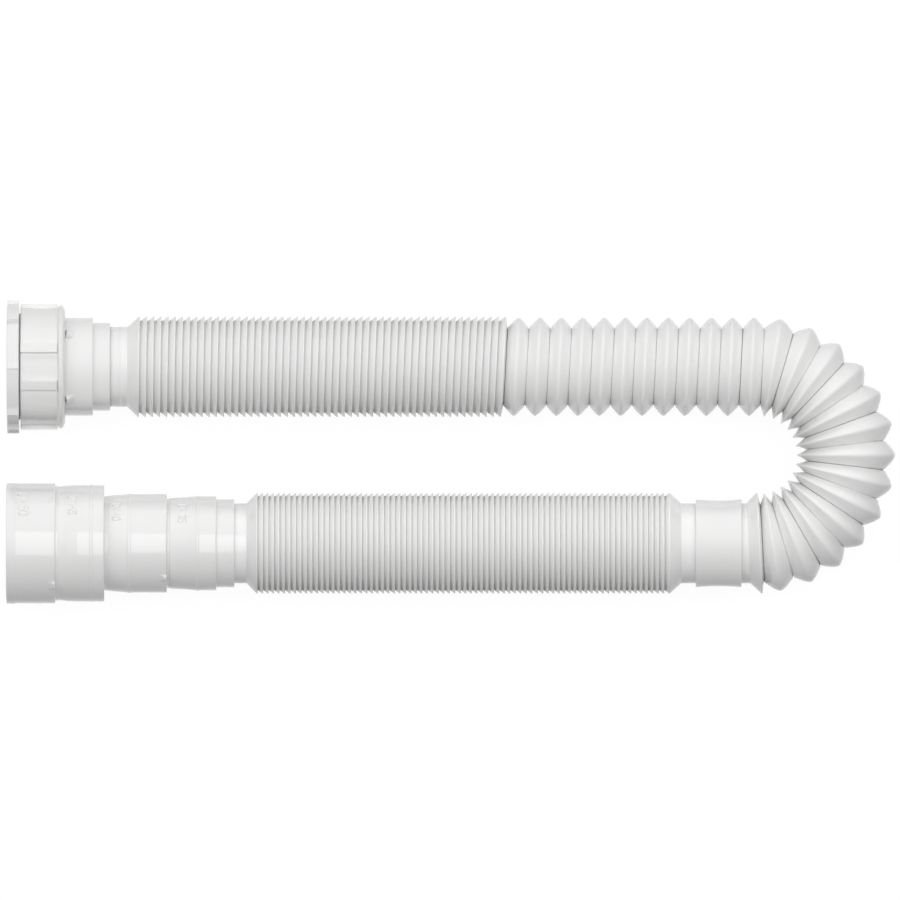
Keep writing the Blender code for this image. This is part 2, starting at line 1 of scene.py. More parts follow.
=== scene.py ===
# %% [markdown]
# # Flexible sink trap
# The trap on the table is a long white hose with a pipe fitting at each end. Most of it is
# bellows: thin plastic blown into folds, so that a plumber can bend it and pull it to length.
# The solids that carry the sizes and the joints are loaded first. This lesson then dresses each
# of them with a finer surface, and every finer piece keeps the place of the solid it covers.

# %% Load the solids and keep their box
import json
import math

import bpy
import numpy as np
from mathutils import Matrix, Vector


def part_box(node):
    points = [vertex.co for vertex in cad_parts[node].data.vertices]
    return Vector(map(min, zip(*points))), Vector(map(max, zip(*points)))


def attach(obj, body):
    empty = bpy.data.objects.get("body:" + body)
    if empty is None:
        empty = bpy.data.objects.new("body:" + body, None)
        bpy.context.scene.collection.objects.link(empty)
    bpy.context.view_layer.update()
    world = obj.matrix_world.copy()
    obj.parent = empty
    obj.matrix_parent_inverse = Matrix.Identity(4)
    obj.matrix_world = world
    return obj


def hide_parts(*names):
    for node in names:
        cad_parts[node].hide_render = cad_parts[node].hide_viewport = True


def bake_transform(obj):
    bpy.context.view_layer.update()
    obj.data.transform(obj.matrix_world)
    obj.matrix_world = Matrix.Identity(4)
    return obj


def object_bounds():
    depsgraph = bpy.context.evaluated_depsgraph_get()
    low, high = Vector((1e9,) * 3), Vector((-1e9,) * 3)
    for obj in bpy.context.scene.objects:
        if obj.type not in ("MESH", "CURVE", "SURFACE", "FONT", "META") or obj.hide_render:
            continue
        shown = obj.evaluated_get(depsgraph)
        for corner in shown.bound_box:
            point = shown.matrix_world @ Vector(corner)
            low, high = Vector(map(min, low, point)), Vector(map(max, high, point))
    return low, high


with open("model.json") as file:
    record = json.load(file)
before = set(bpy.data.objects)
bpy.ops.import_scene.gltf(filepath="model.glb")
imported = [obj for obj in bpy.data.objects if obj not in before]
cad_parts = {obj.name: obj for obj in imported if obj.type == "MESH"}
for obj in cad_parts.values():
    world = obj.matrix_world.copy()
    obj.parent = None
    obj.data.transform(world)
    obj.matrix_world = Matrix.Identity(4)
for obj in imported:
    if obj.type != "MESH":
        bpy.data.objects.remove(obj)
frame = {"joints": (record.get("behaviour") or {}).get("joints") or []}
cad_low, cad_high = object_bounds()
print("the solids measure", [round(1000 * side, 1) for side in cad_high - cad_low], "mm")

# %% [markdown]
# ## Measures that the frame gives
# The joints and boxes of the solids already say where everything lies. The nut turns round the
# inlet leg's axis, and the sleeve's box is centred on the outlet leg's axis. The hinges of the
# bend sit on the hose's centreline, in the valleys between its folds. Reading these here means
# that the finer pieces can't drift away from the solids.

# %% Axes of the two legs and of the bend
MM = 0.001
pivots = {joint["name"]: Vector(joint["pos_m"]) for joint in frame["joints"] if "pos_m" in joint}
sleeve_low, sleeve_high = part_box("middle_sleeve")
AXIS_Z = pivots["nut_turn"].z
INLET_Y = pivots["nut_turn"].y
OUTLET_Y = (sleeve_low.y + sleeve_high.y) / 2
BEND_LEAN = math.radians(3)
LEG_Y = (INLET_Y - OUTLET_Y) / 2
BEND_RADIUS = LEG_Y / math.cos(BEND_LEAN)
BEND_START_X = pivots["bend_open_7"].x
BEND_CENTRE = Vector((BEND_START_X - LEG_Y * math.tan(BEND_LEAN), INLET_Y - LEG_Y, AXIS_Z))
BEND_LENGTH = BEND_RADIUS * (math.pi - 2 * BEND_LEAN)
print("bend radius", round(BEND_RADIUS / MM, 2), "mm, legs", round(2 * LEG_Y / MM, 1), "mm apart")

# %% [markdown]
# ## The camera
# The photo was taken straight from above with a very long lens, so nothing shrinks with
# distance and no side wall of a fitting shows. A long lens far away does the same here, and it
# also lets other views move the camera about.

# %% Camera above the trap
LENS_MM = 1600
SENSOR_MM = 36
PIXEL = 0.444 * MM
PHOTO_WIDTH = 900 * PIXEL
PHOTO_CENTRE = Vector((-0.4 * MM, 0.9 * MM, AXIS_Z))
camera_data = bpy.data.cameras.new("portrait_camera")
camera_data.lens = LENS_MM
camera_data.sensor_width = SENSOR_MM
camera_data.clip_end = 1000
camera = bpy.data.objects.new("portrait_camera", camera_data)
bpy.context.scene.collection.objects.link(camera)
camera.location = PHOTO_CENTRE + Vector((0, 0, PHOTO_WIDTH * LENS_MM / SENSOR_MM))
bpy.context.scene.camera = camera
print("the camera stands", round(camera.location.z, 2), "m above the table")

# %% [markdown]
# ## Rings that follow the hose
# Every part of this trap is round in section, so each one is a stack of rings. A ring has a
# place along the axis, a radius and a lean. On the straight legs the rings stand square, but
# the inlet leg's folds lean a little more and more towards the bend, where they fan out.
# The distance s is measured along the hose from the start of the bend, in metres.

# %% Place and lean of a ring of the upper hose
OPEN_FOLDS = 12
OPEN_PITCH = 9.5 * MM
OPEN_START = -OPEN_FOLDS * OPEN_PITCH
UPPER_FOLDS = 52
UPPER_PITCH = 3.17 * MM
LAST_PEAK = OPEN_START - 0.8 * MM
FIRST_PEAK = LAST_PEAK - (UPPER_FOLDS - 1) * UPPER_PITCH
INLET_LEAN = math.radians(0.7)
CONE = 5 * MM
TAIL_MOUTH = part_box("inlet_tailpiece")[1].x - BEND_START_X
SLEEVE_FACE = BEND_LENGTH + BEND_START_X - sleeve_high.x
END_PEAK = BEND_LENGTH + 1.3 * MM
END_CONE = END_PEAK + CONE


def station(s):
    """Centre and lean of the hose's ring at a distance s past the start of the bend."""
    if s <= 0:
        stops = [TAIL_MOUTH, FIRST_PEAK, LAST_PEAK]
        lean = np.interp(s, stops, [0, INLET_LEAN, BEND_LEAN])
        return Vector((BEND_START_X + s, INLET_Y, AXIS_Z)), lean
    if s <= BEND_LENGTH:
        lean = BEND_LEAN + s / BEND_RADIUS
        return BEND_CENTRE + BEND_RADIUS * Vector((math.sin(lean), math.cos(lean), 0)), lean
    lean = math.pi - np.interp(s, [END_CONE, SLEEVE_FACE], [BEND_LEAN, 0])
    return Vector((BEND_START_X - (s - BEND_LENGTH), OUTLET_Y, AXIS_Z)), lean


print("first fold", round(FIRST_PEAK / MM, 1), "mm, last fold of the bend", round(END_PEAK / MM, 1))

# %% [markdown]
# ## From rings to a mesh
# One helper joins the rings into a closed skin, round the section and along it, like a long
# tube bent until its ends meet: out along the visible side and back along the bore. Smooth
# shading hides the facets, and edges sharper than the limit stay crisp.

# %% Helper that skins rings
SHARP = math.radians(42)


def skin(name, centres, leans, radii, angles):
    """Closed mesh through rings: radii has a row for each ring and a column for each spoke."""
    rings, spokes = radii.shape
    across = radii * np.cos(angles)
    points = np.empty((rings, spokes, 3))
    points[:, :, 0] = centres[:, 0:1] + across * np.sin(leans)[:, None]
    points[:, :, 1] = centres[:, 1:2] + across * np.cos(leans)[:, None]
    points[:, :, 2] = centres[:, 2:3] + radii * np.sin(angles)
    number = np.arange(rings * spokes).reshape(rings, spokes)
    beside = np.roll(number, -1, axis=1)
    ahead = np.roll(number, -1, axis=0)
    faces = np.stack([number, beside, np.roll(beside, -1, axis=0), ahead], axis=-1)
    mesh = bpy.data.meshes.new(name)
    mesh.from_pydata(points.reshape(-1, 3), [], faces.reshape(-1, 4).tolist())
    mesh.shade_smooth()
    mesh.set_sharp_from_angle(angle=SHARP)
    piece = bpy.data.objects.new(name, mesh)
    bpy.context.scene.collection.objects.link(piece)
    return piece


# %% [markdown]
# A turned fitting is drawn as the outline of its cut wall: the outer side from left to right,
# then the bore from right to left. Moulded corners are never knife sharp. Each corner is
# therefore given with the length that its rounding takes off both edges. A close pair of rings
# beside each rounding keeps the flat walls flat under smooth shading.

# %% Helper that rounds an outline
ROUND_STEPS = 4
HUG = 0.15 * MM


def outline(corners):
    """Points (x, radius) of a closed outline from corners (x, radius, rounding[, step]) in mm."""
    spots = np.array([corner[:2] for corner in corners], float) * MM
    groups = []
    for i, corner in enumerate(corners):
        here, before, after = spots[i], spots[i - 1], spots[(i + 1) % len(corners)]
        cut = corner[2] * MM
        start = here + (before - here) / np.linalg.norm(before - here) * cut
        end = here + (after - here) / np.linalg.norm(after - here) * cut
        t = np.linspace(0, 1, ROUND_STEPS + 1)[:, None] if cut else np.zeros((1, 1))
        groups.append((1 - t) ** 2 * start + 2 * t * (1 - t) * here + t**2 * end)
    points = []
    for i, corner in enumerate(corners):
        here, there = groups[i][-1], groups[(i + 1) % len(corners)][0]
        length = np.linalg.norm(there - here)
        points += list(groups[i])
        shares = []
        if length > 3 * HUG:
            shares += [HUG / length, 1 - HUG / length]
        if len(corner) > 3:
            shares += list(np.arange(1, int(length / (corner[3] * MM))) * corner[3] * MM / length)
        points += [here + (there - here) * part for part in sorted(shares)]
    return np.array(points)


# %% [markdown]
# Ribs, teeth and ramps are moulded in one with the fitting, so they aren't separate lumps on
# it. They are a relief: a rise of the ring's radius that depends on the place and the angle.
# The rings get extra columns where such a form begins and ends, so that its edges stay crisp.

# %% Helpers for fittings with relief
def wrapped(angle):
    """The same angle, between minus and plus half a turn."""
    return (angle + math.pi) % (2 * math.pi) - math.pi


def share(value, start, end):
    """Runs from 0 at start to 1 at end, and stays there beyond both."""
    return np.clip((value - start) / (end - start), 0, 1)


def near(r, radius_mm, by_mm):
    """True where the wall's radius lies within by_mm of a radius in mm."""
    return np.abs(r / MM - radius_mm) < by_mm


def columns(count, centres=(), offsets=()):
    """Even angles round a piece, with extra ones at each offset from each centre."""
    extra = {round((c + o) % (2 * math.pi), 6) for c in centres for o in offsets}
    even = np.linspace(0, 2 * math.pi, count, endpoint=False)
    least_gap = math.pi / count / 2
    kept = [a for a in even if all(abs(wrapped(a - e)) > least_gap for e in extra)]
    return np.array(sorted(kept + list(extra)))


def even_angles(count, first=0.0):
    """Evenly spaced angles, the first one as given."""
    return [first + k * 2 * math.pi / count for k in range(count)]


def turned(name, corners, start_x, axis_y, angles, relief=None):
    """A turned fitting on a leg: corners count from start_x, relief is a function of x, r and angle."""
    points = outline(corners)
    x, r = points[:, 0:1], points[:, 1:2]
    radii = r + (relief(x, r, angles[None, :]) if relief else 0 * angles[None, :])
    centres = np.hstack([x + start_x, np.full_like(x, axis_y), np.full_like(x, AXIS_Z)])
    piece = skin(name, centres, np.zeros(len(x)), radii, angles)
    print(name, "has", len(piece.data.polygons), "faces")
    return piece


# %% [markdown]
# ## Screw threads
# The ring screws into the nut with a pipe thread of 11 turns to the inch. A thread is a relief
# too: its crest climbs one pitch for each turn, the same way round as on any right-hand screw.
# The nut and the ring use one rule, counted from the same place, so their threads mesh.

# %% Rule for a right-hand thread
THREAD_PITCH = 25.4 * MM / 11
THREAD_STEP = THREAD_PITCH / MM / 8
THREAD_DEPTH = 1.2 * MM


def thread(x, angle, start, end):
    """Depth of a thread cut at x, fading over the first and the last turn."""
    turn = x / THREAD_PITCH - angle / (2 * math.pi)
    fade = share(x, start, start + THREAD_PITCH) * share(x, end, end - THREAD_PITCH)
    return THREAD_DEPTH * fade * (0.5 - 0.5 * np.cos(2 * math.pi * turn))


# %% [markdown]
# ## Reducer ring
# The ring at the very end lets a nut for the larger thread take the smaller one. Its flange has
# eight slanted grip teeth: each rises slowly and drops at once, so that fingers grip it one way.
# Behind the flange, inside the nut, is the threaded barrel.

# %% Measures of the ring
ring_low, ring_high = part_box("reducer_ring")
nut_low, nut_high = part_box("union_nut")
TEETH = 8
TOOTH_STEP = 2 * math.pi / TEETH
TOOTH_DROP = math.radians(1.75)
TOOTH_WIDTH = math.radians(5.7)
TOOTH_HEIGHT = 1.6 * MM
FLANGE_MM = 5.4
FLANGE_RADIUS_MM = 28.0
BARREL_RADIUS_MM = 23.6
RING_BORE_MM = 20.95
RING_MM = (ring_high.x - ring_low.x) / MM
drops = even_angles(TEETH, TOOTH_DROP)


def ring_relief(x, r, angle):
    """Grip teeth on the rim, a thread on the barrel and a smaller thread in the bore."""
    into = (angle - TOOTH_DROP) % TOOTH_STEP
    tooth = TOOTH_HEIGHT * share(into, TOOTH_STEP - TOOTH_WIDTH, TOOTH_STEP)
    rim = near(r, FLANGE_RADIUS_MM, 0.8) * (x > 0.02 * MM) * (x < (FLANGE_MM - 0.02) * MM)
    x_shared = x + ring_low.x
    barrel = near(r, BARREL_RADIUS_MM, 0.4) * (x > FLANGE_MM * MM)
    male = thread(x_shared, angle, ring_low.x + 6 * MM, ring_high.x - 0.3 * MM)
    bore = near(r, RING_BORE_MM, 0.25)
    female = thread(x_shared, angle, ring_low.x + 0.5 * MM, ring_high.x - 0.5 * MM)
    return tooth * rim - male * barrel - female * bore


# %% Reducer ring
ring = turned(
    "reducer_ring_skin",
    [
        (0, FLANGE_RADIUS_MM, 0.5),
        (FLANGE_MM, FLANGE_RADIUS_MM, 0.5),
        (FLANGE_MM, BARREL_RADIUS_MM, 0.3),
        (7.0, BARREL_RADIUS_MM, 0, THREAD_STEP),
        (RING_MM, BARREL_RADIUS_MM, 0.4),
        (RING_MM, RING_BORE_MM, 0.3, THREAD_STEP),
        (0, RING_BORE_MM, 0.5),
    ],
    ring_low.x,
    INLET_Y,
    columns(128, drops, [-TOOTH_WIDTH, -0.03, -0.006, -0.001, 0.001, 0.006]),
    ring_relief,
)

# %% [markdown]
# ## Union nut
# Six grip ribs run along the nut, and end where its wall swells to a round shoulder. The back
# edge has small notches all round. Inside is the thread that the ring's barrel screws into.

# %% Measures of the nut
NUT_MM = (nut_high.x - nut_low.x) / MM
NUT_RADIUS_MM = 26.1
NUT_BORE_MM = 23.9
BAND_MM = 17.4
BAND_RADIUS_MM = 27.5
BACK_RADIUS_MM = 25.3
BACK_BORE_MM = 22.05
BACK_DEPTH_MM = 3.5
RIB_HALF = math.radians(4.8)
RIB_EDGE = math.radians(0.7)
RIB_HEIGHT = 1.9 * MM
RIB_END_MM = 16.4
RIB_FADE_MM = 0.1
NOTCH_DEPTH = 0.5 * MM
NOTCH_FOOT = math.radians(1.3)
NOTCH_FLOOR = math.radians(0.9)
quarter = math.pi / 2
pair = math.radians(17.5)
ribs = [0, quarter - pair, quarter + pair, math.pi, -quarter - pair, -quarter + pair]
notches = even_angles(24)


def nut_relief(x, r, angle):
    """Grip ribs, notches in the back edge and the thread inside."""
    rise = 0
    for rib in ribs:
        inside = share(np.abs(wrapped(angle - rib)), RIB_HALF, RIB_HALF - RIB_EDGE)
        rise = rise + inside * inside * (3 - 2 * inside)
    along = near(r, NUT_RADIUS_MM, 0.8) * share(x / MM, RIB_END_MM, RIB_END_MM - RIB_FADE_MM)
    dip = 0
    for notch in notches:
        dip = dip + share(np.abs(wrapped(angle - notch)), NOTCH_FOOT, NOTCH_FLOOR)
    back = near(r, BACK_RADIUS_MM - 0.2, 0.5) * (x > (NUT_MM - 0.5) * MM)
    cut = thread(x + nut_low.x, angle, nut_low.x + 0.8 * MM, nut_low.x + 12.5 * MM)
    bore = near(r, NUT_BORE_MM, 0.3) * (x < 14 * MM)
    return RIB_HEIGHT * rise * along - NOTCH_DEPTH * dip * back - cut * bore


# %% Union nut
rib_offsets = [side * (RIB_HALF - k * RIB_EDGE / 3) for side in (-1, 1) for k in range(4)]
notch_offsets = [-NOTCH_FOOT, -NOTCH_FLOOR, NOTCH_FLOOR, NOTCH_FOOT]
nut = turned(
    "union_nut_skin",
    [
        (0, NUT_RADIUS_MM, 0.55),
        (RIB_END_MM - RIB_FADE_MM, NUT_RADIUS_MM, 0),
        (RIB_END_MM, NUT_RADIUS_MM + 0.1, 0),
        (BAND_MM, BAND_RADIUS_MM, 0.5),
        (NUT_MM - 0.25, BAND_RADIUS_MM, 2.15),
        (NUT_MM - 0.25, BACK_RADIUS_MM, 0.02),
        (NUT_MM, BACK_RADIUS_MM - 0.1, 0.1),
        (NUT_MM, BACK_BORE_MM, 0.3),
        (NUT_MM - BACK_DEPTH_MM, BACK_BORE_MM, 0.2),
        (NUT_MM - BACK_DEPTH_MM, NUT_BORE_MM, 0.2),
        (13.0, NUT_BORE_MM, 0, THREAD_STEP),
        (0, NUT_BORE_MM, 0.4),
    ],
    nut_low.x,
    INLET_Y,
    columns(96, ribs + notches, rib_offsets + notch_offsets),
    nut_relief,
)

# %% [markdown]
# ## Mouths of the collars
# The tailpiece, the sleeve and the adapter all hold a hose's plain neck in the same way: a round
# seat as deep as the neck is long, with a stop behind it. One helper draws that mouth for all three.

# %% Helper for a collar's mouth
COLLAR_RADIUS_MM = 19.55
SEAT_BORE_MM = 18.05
SEAT_DEPTH_MM = 9.3
STOP_BORE_MM = 16.4


def mouth(end, edge):
    """Corners of a mouth that opens at end: the rim, the seat and the stop."""
    seat = end - SEAT_DEPTH_MM
    rim = [(end, COLLAR_RADIUS_MM, edge), (end, SEAT_BORE_MM, 0.15)]
    return rim + [(seat, SEAT_BORE_MM, 0.05), (seat, STOP_BORE_MM, 0.2)]


# %% [markdown]
# ## Sealing washer and inlet tailpiece
# The washer is a plain soft ring that no one sees until the nut comes off. The tailpiece has
# two collars, and four snap ramps: the nut was pushed over them once, and can't come back.
# Each ramp climbs from the hose's side, with slanted flanks, and drops at once at the nut.

# %% Sealing washer
washer_low, washer_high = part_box("sealing_washer")
WASHER_MM = (washer_high.x - washer_low.x) / MM
WASHER_RADIUS_MM = 23.4
WASHER_EDGE = 0.4
washer = turned(
    "sealing_washer_skin",
    [
        (0, WASHER_RADIUS_MM, WASHER_EDGE),
        (WASHER_MM, WASHER_RADIUS_MM, WASHER_EDGE),
        (WASHER_MM, STOP_BORE_MM, WASHER_EDGE),
        (0, STOP_BORE_MM, WASHER_EDGE),
    ],
    washer_low.x,
    INLET_Y,
    columns(96),
)

# %% Measures of the tailpiece
tail_low, tail_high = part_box("inlet_tailpiece")
TAIL_MM = (tail_high.x - tail_low.x) / MM
TAIL_FLANGE_MM = 2.5
TAIL_FLANGE_RADIUS_MM = 22.7
BIG_RADIUS_MM = 21.75
BIG_END_MM = TAIL_MM - 7.6
RAMP_START = nut_high.x - tail_low.x
RAMP_HEIGHT = 2.2 * MM
RAMP_CREST_MM = 1.1
RAMP_LENGTH_MM = 4.3
RAMP_HALF = math.radians(5.2)
RAMP_SLANT = 0.8 * MM
ramp_turn = math.radians(40.6)
ramps = [side + lean for side in (quarter, -quarter) for lean in (-ramp_turn, ramp_turn)]


def ramp_relief(x, r, angle, centres, low_end, top, foot, height, half, slant):
    """Ramps that climb from low_end to top and fall to foot; slant is the width of a flank."""
    along = np.minimum(share(x, low_end, top), share(x, foot, top))
    rise = 0
    for centre in centres:
        flank = share(r * np.abs(wrapped(angle - centre)), r * half, r * half - slant)
        rise = rise + np.minimum(along, flank)
    return height * rise


def tail_relief(x, r, angle):
    """Snap ramps on the big collar."""
    on = near(r, BIG_RADIUS_MM, 0.1)
    top = RAMP_START + RAMP_CREST_MM * MM
    end = RAMP_START + RAMP_LENGTH_MM * MM
    rise = ramp_relief(x, r, angle, ramps, end, top, RAMP_START, RAMP_HEIGHT, RAMP_HALF, RAMP_SLANT)
    return on * rise


# %% Inlet tailpiece
flank_degrees = [5.2, 4.5, 3.8, 3.1]
ramp_offsets = [side * math.radians(d) for side in (-1, 1) for d in flank_degrees]
tail = turned(
    "inlet_tailpiece_skin",
    [
        (0, TAIL_FLANGE_RADIUS_MM, 0.2),
        (TAIL_FLANGE_MM, TAIL_FLANGE_RADIUS_MM, 0.2),
        (TAIL_FLANGE_MM, BIG_RADIUS_MM, 0.1),
        (RAMP_START / MM, BIG_RADIUS_MM, 0, 0.3),
        (RAMP_START / MM + RAMP_CREST_MM, BIG_RADIUS_MM, 0, 0.3),
        (RAMP_START / MM + RAMP_LENGTH_MM, BIG_RADIUS_MM, 0),
        (BIG_END_MM, BIG_RADIUS_MM, 0.45),
        (BIG_END_MM, COLLAR_RADIUS_MM, 0.15),
        *mouth(TAIL_MM, 0.35),
        (0, STOP_BORE_MM, 0.3),
    ],
    tail_low.x,
    INLET_Y,
    columns(112, ramps, ramp_offsets),
    tail_relief,
)

# %% [markdown]
# ## Middle sleeve
# The sleeve takes one hose end in each side. It was moulded a little thinner in the middle, so
# its outline is a long shallow curve and not a straight line.

# %% Middle sleeve
SLEEVE_MM = (sleeve_high.x - sleeve_low.x) / MM
WAIST_DEPTH = 0.5 * MM


def sleeve_relief(x, r, angle):
    """Shallow waist on the outer side."""
    place = share(x, 0, SLEEVE_MM * MM)
    return (r > 19 * MM) * -WAIST_DEPTH * np.sin(math.pi * place) + 0 * angle


sleeve = turned(
    "middle_sleeve_skin",
    [
        (0, COLLAR_RADIUS_MM, 0.4, 1.2),
        *mouth(SLEEVE_MM, 0.4),
        (SEAT_DEPTH_MM, STOP_BORE_MM, 0.2),
        (SEAT_DEPTH_MM, SEAT_BORE_MM, 0.05),
        (0, SEAT_BORE_MM, 0.15),
    ],
    sleeve_low.x,
    OUTLET_Y,
    columns(112),
    sleeve_relief,
)

# %% [markdown]
# ## Stepped outlet adapter
# The adapter takes four sizes of pipe, one behind the other, and the plumber saws off the steps
# that are too wide. Each step has its size pressed into it, a fine groove shows where to saw,
# and a low bead marks how deep the pipe goes. The marks are strokes: straight lines and arcs of
# which each point of the wall knows its distance, so the wall dips where that distance is small.

# %% Strokes of the size marks
def arc(cx, cy, rx, ry, start, end, steps=10):
    """Points on an arc of an ellipse, angles in degrees."""
    turn = np.radians(np.linspace(start, end, steps))
    return np.stack([cx + rx * np.cos(turn), cy + ry * np.sin(turn)], axis=1)


GLYPHS = {
    "D": [np.vstack([[(0, 0)], arc(0.3, 0.5, 0.3, 0.5, -90, 90), [(0, 1), (0, 0)]])],
    "N": [np.array([(0, 0), (0, 1), (0.6, 0), (0.6, 1)])],
    "0": [arc(0.3, 0.5, 0.3, 0.5, 0, 360, 20)],
    "3": [arc(0.25, 0.75, 0.28, 0.25, 150, -90), arc(0.25, 0.25, 0.3, 0.25, 90, -150)],
    "4": [np.array([(0.45, 0), (0.3, 0.55)]), np.array([(0.35, 1), (0, 0.3), (0.6, 0.3)])],
    "5": [np.vstack([[(0.55, 1), (0.08, 1), (0.05, 0.55)], arc(0.25, 0.3, 0.32, 0.3, 110, -150)])],
    "8": [arc(0.3, 0.76, 0.24, 0.24, 0, 360, 16), arc(0.3, 0.27, 0.3, 0.27, 0, 360, 18)],
}
LETTER_WIDTH = 0.68
DIGIT_WIDTH = 0.52
GLYPH_WIDTH = 0.6
LETTER_GAP = 0.07
SPACE_STEP = 0.38


def mark_strokes(text, height):
    """Strokes of a mark as lists of points, centred, in metres along and up the mark."""
    strokes = []
    cursor = 0.0
    for letter in text:
        if letter not in GLYPHS:
            cursor += SPACE_STEP
            continue
        width = DIGIT_WIDTH if letter.isdigit() else LETTER_WIDTH
        strokes += [stroke * (width / GLYPH_WIDTH, 1) + (cursor, 0) for stroke in GLYPHS[letter]]
        cursor += width + LETTER_GAP
    return [(stroke - (cursor / 2, 0.5)) * height for stroke in strokes]


def distance_to(strokes, u, v):
    """Distance of points (u, v) to the nearest stroke."""
    nearest = np.full(np.broadcast(u, v).shape, 1.0)
    for stroke in strokes:
        for (ax, ay), (bx, by) in zip(stroke[:-1], stroke[1:]):
            length = (bx - ax) ** 2 + (by - ay) ** 2
            t = np.clip(((u - ax) * (bx - ax) + (v - ay) * (by - ay)) / length, 0, 1)
            gap = np.hypot(u - ax - t * (bx - ax), v - ay - t * (by - ay))
            nearest = np.minimum(nearest, gap)
    return nearest


print("a mark of two letters and two digits has", len(mark_strokes("DN 50", 1.0)), "strokes")

# %% [markdown]
# The size marks read downwards, with the tops of the letters to the right. Along the mark is
# round the adapter, and up the letters is along its axis. The outline has close rings under
# each mark, and close columns over the arc that the marks cover.

# %% Measures of the adapter
adapter_low, adapter_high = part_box("outlet_adapter")
ADAPTER_MM = (adapter_high.x - adapter_low.x) / MM
WALL_MM = 1.9
R50, R48, R40, R38 = (size / 2 + WALL_MM for size in (50, 48, 40, 38))
LIP_50_MM = 0.2
STEP_48_MM = 21.75
STEP_40_MM = 43.5
STEP_38_MM = 71.25
COLLAR_MM = 93.25
BEAD_48_MM = 37.0
BEAD_40_MM = 53.9
BEAD_38_MM = 84.2
TAPER_48 = (23.5, R48 - 0.55, 31.6, R48)
TAPER_40 = (45.4, R40 - 0.7, BEAD_40_MM, R40 - 0.05)
TAPER_38 = (72.8, R38 - 0.75, BEAD_38_MM, R38 - 0.1)
SOCKET_48_END_MM = 41.6
SOCKET_40_END_MM = 69.35
SOCKET_38_END_MM = 85.5
MARK_STEP = 0.13
STROKE_HALF = 0.24 * MM
STROKE_DEPTH = 0.45 * MM
MARK_ANGLE = math.radians(48)
MARK_50 = ("DN 50", 7.55, 4.5, R50)
MARK_48 = ("DN 48", 29.45, 3.7, R48)
MARKS = [
    MARK_50,
    MARK_48,
    ("DN 40", 48.9, 3.6, R40),
    ("DN 38", 78.1, 3.6, R38),
]
PIP_HEIGHT = 0.8 * MM
PIP_HALF = math.radians(5.0)
PIP_CLIMB = 3 * MM
PIP_FALL = 1 * MM
pips_at = even_angles(4, math.pi / 4)


# %% Relief of the adapter
def adapter_relief(x, r, angle):
    """Pressed size marks, and small ramps at the ends of two steps."""
    dip = 0
    for text, along, height, radius in MARKS:
        on = (np.abs(x / MM - along) < height) * near(r, radius, 1.2)
        round_ = r * wrapped(angle - MARK_ANGLE)
        gap = distance_to(mark_strokes(text, height * MM), round_, x - along * MM)
        dip = dip + on * share(gap, STROKE_HALF, STROKE_HALF / 2)
    pips = 0
    for end, radius in ((STEP_48_MM, R50), (STEP_38_MM, R40)):
        on = near(r, radius, 0.5) * (x / MM < end - 0.02)
        top = (end - 0.05) * MM
        ends = (top - PIP_CLIMB, top, top + PIP_FALL)
        pips = pips + on * ramp_relief(x, r, angle, pips_at, *ends, PIP_HEIGHT, PIP_HALF, PIP_HEIGHT)
    return pips - STROKE_DEPTH * dip


# %% Outline of the adapter
def marked(mark, radius):
    """Corners of a smooth stretch of wall with close rings, centred under a mark."""
    _, place, height, _ = mark
    return [(place - 0.6 * height, radius, 0, MARK_STEP), (place + 0.6 * height, radius, 0)]


def bead(place, radius):
    """Corners of a low rounded bead."""
    return [
        (place, radius, 0.1),
        (place + 0.35, radius + 0.22, 0.15),
        (place + 1.15, radius + 0.22, 0.15),
        (place + 1.5, radius, 0.1),
    ]


def slope(place, taper):
    """Radius at a place on a straight taper, given as (start, radius, end, radius)."""
    start, radius_start, end, radius_end = taper
    return float(np.interp(place, [start, end], [radius_start, radius_end]))


def adapter_corners():
    """Outline of the adapter in mm: four steps and a collar outside, stepped sockets inside."""
    wall_50 = R50 - LIP_50_MM
    outer = [(0, R50 - 0.1, 0.35), (3.95, R50, 0.1), (4.2, wall_50, 0.1)]
    outer += marked(MARK_50, wall_50)
    outer += [(18.5, wall_50, 0, 0.5), (STEP_48_MM, wall_50, 0.4), (STEP_48_MM, R50 - 1.35, 0.15)]
    outer += [(STEP_48_MM + 1.3, R50 - 1.35, 0.15), (STEP_48_MM + 1.7, R48 - 0.6, 0.15)]
    outer += marked(MARK_48, slope(MARK_48[1], TAPER_48))[:1]
    outer += [(31.7, R48, 0)] + bead(BEAD_48_MM, R48)
    outer += [(STEP_40_MM, R48, 0.4), (STEP_40_MM, R40 - 0.85, 0.2)]
    outer += [(STEP_40_MM + 1.9, R40 - 0.85, 0.05), (STEP_40_MM + 1.9, R40 - 0.7, 0.05)]
    outer += [(46.7, slope(46.7, TAPER_40), 0, MARK_STEP), (51.2, slope(51.2, TAPER_40), 0)]
    outer += bead(BEAD_40_MM, R40)
    outer += [(67.5, R40, 0, 0.5), (STEP_38_MM, R40, 0.4), (STEP_38_MM, R40 - 2, 0.15)]
    outer += [(STEP_38_MM + 1.2, R40 - 2, 0.1), (STEP_38_MM + 1.5, R38 - 0.75, 0.15)]
    outer += [(75.9, slope(75.9, TAPER_38), 0, MARK_STEP), (80.4, slope(80.4, TAPER_38), 0)]
    outer += bead(BEAD_38_MM, R38)
    outer += [(COLLAR_MM, R38, 0.4), (COLLAR_MM, COLLAR_RADIUS_MM, 0.15)]
    inner = [(SOCKET_38_END_MM, STOP_BORE_MM, 0.2), (SOCKET_38_END_MM, 38 / 2, 0.2)]
    sockets = ((SOCKET_40_END_MM, 38, 40), (SOCKET_48_END_MM, 40, 48), (STEP_48_MM, 48, 50))
    for end, size, wider in sockets:
        inner += [(end, size / 2, 0.3), (end, wider / 2, 0.2)]
    return outer + mouth(ADAPTER_MM, 0.35) + inner + [(0, 50 / 2, 0.5)]


